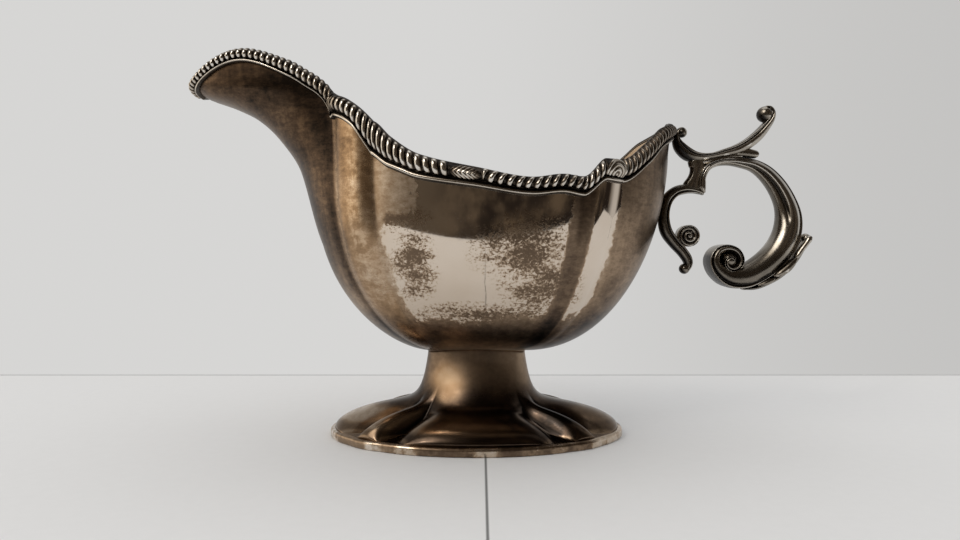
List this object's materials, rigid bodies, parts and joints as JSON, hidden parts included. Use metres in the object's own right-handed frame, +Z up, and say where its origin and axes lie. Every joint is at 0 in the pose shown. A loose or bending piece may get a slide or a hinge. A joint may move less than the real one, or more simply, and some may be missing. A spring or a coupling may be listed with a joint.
{
  "type": "sauce boat",
  "caption": "Fluted oval sauce boat with a long raised spout, gadroon border, lobed oval foot and a cast double-scroll handle.",
  "frame": {"origin": "middle of the oval foot, on the surface that the boat stands on", "axes": "+Z up, +X from the spout to the handle, -Y the left side as the boat pours"},
  "size_m": [0.1882, 0.076, 0.1135],
  "materials": {
    "bowl_silver": "silver plate, polished on the sides and tarnished brown below and on the spout",
    "border_silver": "silver plate, bright on the crests and black in the grooves",
    "foot_silver": "silver plate, dark brown tarnish with golden worn places",
    "handle_silver": "silver plate on a casting, satin, dark in the recesses"
  },
  "bodies": {
    "root": {"bowl": "bowl_silver", "border_spout": "border_silver", "border_front_lobe_left": "border_silver", "border_front_lobe_right": "border_silver", "border_side_left": "border_silver", "border_side_right": "border_silver", "border_rear_lobe_left": "border_silver", "border_rear_lobe_right": "border_silver", "border_back_left": "border_silver", "border_back_right": "border_silver", "foot": "foot_silver", "foot_rim": "foot_silver", "handle_upper_scroll": "handle_silver", "handle_loop": "handle_silver", "handle_strut": "handle_silver", "handle_lower_bracket": "handle_silver", "handle_lower_volute": "handle_silver", "handle_leaf_spray": "handle_silver"}
  },
  "joints": []
}
